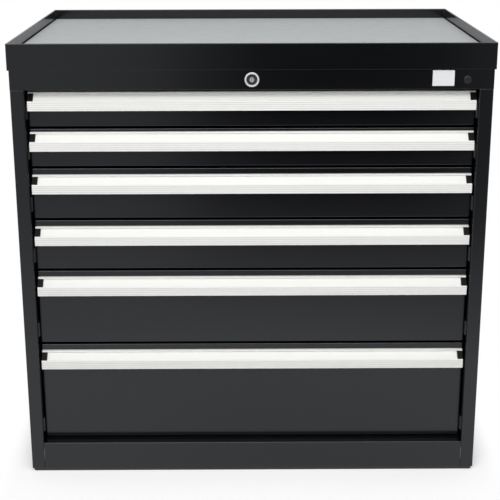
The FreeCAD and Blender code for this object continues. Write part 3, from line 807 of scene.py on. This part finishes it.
@dataclass
class Carcass:
    """The folded sheet body: panels, base, rails, slotted uprights and cabinet channels."""

    body: str = "cabinet"
    coated: tuple[str, ...] = (
        "left_side_panel",
        "right_side_panel",
        "back_panel",
        "base_pan",
        "plinth_panel",
        "top_front_rail",
        "top_back_rail",
        "slotted_uprights",
    )
    rivet_radius: float = 0.004
    rivet_height: float = 0.0014
    rivet_rim: float = 0.00035
    rivet_inset: float = 0.01
    rivet_count: int = 7
    rivet_foot_margin: float = 0.06
    rivet_top_margin: float = 0.09

    def dress(self) -> list[bpy.types.Object]:
        """Gives the carcass its finishes and its rivets.

        Returns:
            The carcass's pieces.
        """
        return [
            *paint_nodes(Finishes.BLACK_COAT, *self.coated),
            *paint_nodes(Finishes.BASE_COAT, "base_frame"),
            # The channels are painted darker than the bright zinc, as shade.
            *paint_nodes(Finishes.SHADED_ZINC, "cabinet_channels"),
            self.back_rivets(),
        ]

    def back_rivets(self) -> bpy.types.Object:
        """Makes the two columns of domed rivets that hold the back panel to the side panels' rear flanges.

        Returns:
            The rivets, as one piece.
        """
        low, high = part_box("right_side_panel")
        maker = MeshMaker("back_rivets")
        first = low.z + self.rivet_foot_margin
        last = high.z - self.rivet_top_margin
        pitch = (last - first) / (self.rivet_count - 1)
        profile = dome(self.rivet_radius, self.rivet_height, self.rivet_rim)
        for side in (-1, 1):
            for row in range(self.rivet_count):
                foot = Vector((side * (high.x - self.rivet_inset), high.y, first + row * pitch))
                maker.turned(profile, foot, Vector((0.0, 1.0, 0.0)))
        return maker.piece(Finishes.BLACK_COAT, self.body)


@dataclass
class Worktop:
    """The folded lid with its raised rim, and the mat that lies in it."""

    lid: str = "worktop_tray"
    mat: str = "worktop_mat"

    def dress(self) -> list[bpy.types.Object]:
        """Gives the lid and its mat their finishes, and returns them."""
        return [*paint_nodes(Finishes.BLACK_COAT, self.lid), *paint_nodes(Finishes.MAT, self.mat)]


@dataclass
class Lock:
    """The central lock: its ring, plug and cam, and the bar with its guides."""

    bright: tuple[str, ...] = ("lock_housing", "lock_plug")
    plated: tuple[str, ...] = ("lock_cam", "lock_bar", "lock_bar_guides")

    def dress(self) -> list[bpy.types.Object]:
        """Gives the lock its finishes, and returns its pieces."""
        return [*paint_nodes(Finishes.NICKEL, *self.bright), *paint_nodes(Finishes.ZINC, *self.plated)]


@dataclass
class RailFittings:
    """What sits on the top rail to the right of the lock: a plain plate and the hole plug."""

    body: str = "cabinet"
    plate_width: float = 0.0396
    plate_height: float = 0.0285
    plate_thickness: float = 0.0006
    plate_chamfer: float = 0.0003
    plate_corner: float = 0.0012
    corner_steps: int = 4
    # The plate's middle along X, and how far it lies above the lock's axis.
    plate_middle: float = 0.3453
    plate_rise: float = 0.0017

    def dress(self) -> list[bpy.types.Object]:
        """Gives the hole plug its finish, makes the plate, and returns both."""
        return [*paint_nodes(Finishes.STOPPER, "hole_plug"), self.blank_plate()]

    def outline(self, inset: float, depth: float) -> list[Vector]:
        """The plate's outline with round corners.

        Args:
            inset: How far the outline lies inside the plate's edge.
            depth: How far it stands in front of the rail.

        Returns:
            The outline's points.
        """
        height = middle_of("lock_plug")[1] + self.plate_rise
        middle = Vector((self.plate_middle, front_of("top_front_rail") - depth, height))
        half_width = self.plate_width / 2 - self.plate_corner
        half_height = self.plate_height / 2 - self.plate_corner
        radius = self.plate_corner - inset
        points = []
        for corner, (side, up) in enumerate(((1, 1), (-1, 1), (-1, -1), (1, -1))):
            for step in range(self.corner_steps + 1):
                angle = math.pi / 2 * (corner + step / self.corner_steps)
                offset = Vector((math.cos(angle), 0.0, math.sin(angle))) * radius
                points.append(middle + Vector((side * half_width, 0.0, up * half_height)) + offset)
        return points

    def blank_plate(self) -> bpy.types.Object:
        """Makes a plain white plate, where the real cabinet has a plate of the same size.

        Returns:
            The plate.
        """
        maker = MeshMaker("blank_plate")
        shoulder = self.plate_thickness - self.plate_chamfer
        layers = ((0.0, 0.0), (0.0, shoulder), (self.plate_chamfer, self.plate_thickness))
        maker.stacked([self.outline(inset, depth) for inset, depth in layers])
        return maker.piece(Finishes.PLATE, self.body)


@dataclass
class Drawer:
    """One drawer: its front, tray, handle with caps and label, and the moving slide members."""

    number: int
    screw_radius: float = 0.0045
    screw_height: float = 0.0016
    screw_rim: float = 0.00048
    # How far behind the tray's front the screws sit.
    screw_places: tuple[float, ...] = (0.04, 0.24, 0.44)
    tray_sheet: float = 0.001

    @property
    def body(self) -> str:
        """The body that the drawer's own pieces ride on."""
        return f"drawer_{self.number}"

    def node(self, part: str) -> str:
        """The name of one of the drawer's nodes."""
        return f"{self.body}_{part}"

    def dress(self) -> list[bpy.types.Object]:
        """Gives the drawer its finishes and its slide screws.

        Returns:
            The drawer's pieces.
        """
        return [
            *paint_nodes(Finishes.BLACK_COAT, self.node("front"), self.node("tray")),
            *paint_nodes(Finishes.ALUMINIUM, self.node("handle")),
            *paint_nodes(Finishes.PLASTIC, self.node("handle_caps")),
            *paint_nodes(Finishes.LABEL, self.node("label")),
            *paint_nodes(Finishes.ZINC, self.node("runners"), self.node("middle_runners")),
            self.slide_screws(),
        ]

    def slide_screws(self) -> bpy.types.Object:
        """Makes the low domed heads inside the tray that hold its slide members.

        Returns:
            The heads, as one piece.
        """
        low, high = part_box(self.node("tray"))
        height = middle_of(self.node("runners"))[1]
        maker = MeshMaker(self.node("slide_screws"))
        profile = dome(self.screw_radius, self.screw_height, self.screw_rim)
        for side, wall in ((-1, low.x), (1, high.x)):
            for place in self.screw_places:
                foot = Vector((wall - side * self.tray_sheet, low.y + place, height))
                maker.turned(profile, foot, Vector((-side, 0.0, 0.0)))
        return maker.piece(Finishes.ZINC, self.body)


@dataclass
class Camera:
    """The photograph's view of the cabinet."""

    place: Place = (-0.0121, -2.4574, 1.1224)
    pitch: float = math.radians(17.06)
    yaw: float = math.radians(-0.21)
    roll: float = math.radians(0.146)
    lens: float = 86.89
    sensor: float = 36.0
    nearest: float = 0.05

    def build(self) -> bpy.types.Object:
        """Makes the camera and gives it to the scene.

        Returns:
            The camera.
        """
        data = bpy.data.cameras.new("camera")
        data.lens = self.lens
        data.sensor_width = self.sensor
        data.clip_start = self.nearest
        made = add_object("camera", data)
        turn = (
            Matrix.Rotation(self.yaw, 4, "Z")
            @ Matrix.Rotation(math.pi / 2 - self.pitch, 4, "X")
            @ Matrix.Rotation(-self.roll, 4, "Z")
        )
        made.matrix_world = Matrix.Translation(Vector(self.place)) @ turn
        bpy.context.scene.camera = made
        return made


@dataclass(frozen=True)
class Softbox:
    """One rectangular studio lamp that faces the middle of the cabinet."""

    name: str
    place: Place
    width: float
    height: float
    level: float
    target: Place = (0.0, 0.0, 0.45)

    def build(self) -> bpy.types.Object:
        """Makes the lamp. Its level is what a white surface facing it at the target would send back.

        Returns:
            The lamp.
        """
        beam = Vector(self.target) - Vector(self.place)
        data = bpy.data.lights.new(self.name, "AREA")
        data.shape = "RECTANGLE"
        data.size = self.width
        data.size_y = self.height
        data.energy = self.level * (math.pi * beam.length) ** 2
        made = add_object(self.name, data)
        made.location = self.place
        made.rotation_euler = beam.to_track_quat("-Z", "Y").to_euler()
        return made


@dataclass
class Floor:
    """A plain pale floor of paper that fades into the white surroundings round the cabinet's shadow."""

    radius: float = 6.0
    segments: int = 96
    colour: Colour = (0.82, 0.82, 0.82)
    # The colour that lights the cabinet from below, and the light of the paper that only the camera sees.
    bounce_colour: Colour = (0.45, 0.45, 0.45)
    lift: float = 0.27
    # The fade starts at the cabinet's outline. A metre beside it counts side_fade times.
    fade_width: float = 0.3
    side_fade: float = 5.0
    # The lit part of the paper as gloss shows it: stops are shares of its reach, with their levels.
    lit_reach: float = 3.3
    lit_level: float = 1.08
    lit_stops: tuple[Pair, ...] = (
        (0.0, 0.86),
        (0.12, 0.87),
        (0.20, 0.95),
        (0.30, 1.0),
        (0.39, 0.70),
        (0.53, 0.45),
        (0.70, 0.07),
        (1.0, 0.0),
    )

    def build(self) -> bpy.types.Object:
        """Makes a disc of paper under the cabinet.

        Returns:
            The floor.
        """
        mesh = bmesh.new()
        bmesh.ops.create_circle(mesh, cap_ends=True, segments=self.segments, radius=self.radius)
        data = bpy.data.meshes.new("floor")
        mesh.to_mesh(data)
        mesh.free()
        made = add_object("floor", data)
        data.materials.append(self.paper())
        return made

    def outside(self, graph: Graph, place: Value) -> Value:
        """How far a point lies outside the cabinet's outline, counted more at its sides.

        Args:
            graph: The material's graph.
            place: The point.

        Returns:
            The distance, which is below 0 inside the outline.
        """
        from_middle_x = graph.maths("ABSOLUTE", graph.part(place, Axis.X))
        from_middle_y = graph.maths("ABSOLUTE", graph.part(place, Axis.Y))
        beside = (from_middle_x - CAD_BOX[1][0]) * self.side_fade
        return graph.maths("MAXIMUM", beside, from_middle_y - CAD_BOX[1][1])

    def paper(self) -> bpy.types.Material:
        """White paper that fades to the white surroundings, and whose lit part shows in gloss.

        Returns:
            The floor's material.
        """
        made = bpy.data.materials.new("floor_paper")
        graph = Graph(made)
        place = graph.place()
        camera_ray = graph.ray(Ray.CAMERA)
        sheet = graph.node(
            "ShaderNodeBsdfDiffuse",
            feeds={"Color": graph.blend(camera_ray, self.bounce_colour, self.colour)},
        )
        seen = graph.node("ShaderNodeAddShader", feeds={0: sheet, 1: graph.light(camera_ray * self.lift)})
        faded = graph.ramp(self.outside(graph, place), 0.0, self.fade_width) * camera_ray
        near = graph.mixed(faded, seen, graph.light(1.0))
        radius = graph.node("ShaderNodeVectorMath", {"operation": "LENGTH"}, {0: place}, output="Value")
        lit = graph.node("ShaderNodeValToRGB", {"stops": self.lit_stops}, {0: radius / self.lit_reach})
        clear = graph.node("ShaderNodeBsdfTransparent")
        glossy = graph.mixed(lit, clear, graph.light(self.lit_level))
        shader = graph.mixed(graph.ray(Ray.GLOSSY), near, glossy)
        graph.node("ShaderNodeOutputMaterial", feeds={"Surface": shader})
        return made


@dataclass
class Surroundings:
    """White for the camera, soft grey light from above, and bright and dark walls in gloss.

    Edges are where a wall begins and where it is full, as parts of a ray's direction. Those of the two panels
    at the front are its part along X divided by its part along Y.
    """

    ambient: float = 0.3
    ambient_edges: Pair = (0.1, 0.5)
    ambient_share_below: float = 0.15
    dark_level: float = 0.023
    left_panel_level: float = 0.62
    left_panel_edges: Pair = (0.02, 0.078)
    right_panel_level: float = 0.34
    right_panel_edges: Pair = (-0.18, -0.20)
    back_level: float = 0.95
    back_edges: Pair = (-0.35, 0.1)
    ceiling_level: float = 0.85
    ceiling_edges: Pair = (0.25, 0.6)
    front_limit: float = -0.01

    def walls(self, graph: Graph, direction: Value) -> Value:
        """What gloss shows of the surroundings.

        Args:
            graph: The world's graph.
            direction: Where the ray goes.

        Returns:
            The level in that direction.
        """
        back = graph.part(direction, Axis.Y)
        slant = graph.part(direction, Axis.X) / graph.maths("MINIMUM", back, self.front_limit)
        left_panel = graph.ramp(slant, *self.left_panel_edges) * self.left_panel_level
        right_panel = graph.ramp(slant, *self.right_panel_edges) * self.right_panel_level
        front = self.dark_level + left_panel + right_panel
        behind = graph.ramp(back, *self.back_edges)
        above = graph.ramp(graph.part(direction, Axis.Z), *self.ceiling_edges)
        return front.toward(self.back_level, behind).toward(self.ceiling_level, above)

    def build(self) -> None:
        """Makes the world."""
        world = bpy.data.worlds.new("studio")
        bpy.context.scene.world = world
        graph = Graph(world)
        direction = graph.node("ShaderNodeTexCoord", output="Generated")
        height = graph.part(direction, Axis.Z)
        soft = self.ambient * graph.ramp(height, *self.ambient_edges, self.ambient_share_below, 1.0)
        level = soft.toward(self.walls(graph, direction), graph.ray(Ray.GLOSSY))
        strength = level.toward(1.0, graph.ray(Ray.CAMERA))
        background = graph.node("ShaderNodeBackground", feeds={"Color": WHITE, "Strength": strength})
        graph.node("ShaderNodeOutputWorld", feeds={"Surface": background})


@dataclass
class Studio:
    """A plain pale floor in a soft white studio that is dark behind the camera."""

    softboxes: tuple[Softbox, ...] = (
        Softbox("key_softbox", (-0.3, -2.6, 2.3), width=2.6, height=1.6, level=0.69),
        Softbox("top_softbox", (0.0, -0.4, 3.0), width=2.4, height=2.4, level=0.3),
        Softbox("fill_softbox", (1.8, -2.2, 2.3), width=1.2, height=1.2, level=0.1),
    )

    def build(self) -> None:
        """Makes the floor, the surroundings and the lamps."""
        Floor().build()
        Surroundings().build()
        for softbox in self.softboxes:
            softbox.build()


def main() -> None:
    """Builds the view and the studio, dresses each sub-assembly in order and reports each piece."""
    logging.basicConfig(level=logging.INFO, format="%(name)s: %(message)s")
    bpy.context.scene.view_settings.view_transform = "Standard"
    Camera().build()
    Studio().build()
    log.info("camera and studio are in place")
    drawers = [Drawer(number) for number in range(1, DRAWER_COUNT + 1)]
    sub_assemblies: list[SubAssembly] = [Carcass(), Worktop(), Lock(), RailFittings(), *drawers]
    for sub_assembly in sub_assemblies:
        for piece in sub_assembly.dress():
            log.info("%s is finished in %s", piece.name, piece.active_material.name)


if __name__ == "__main__":
    main()
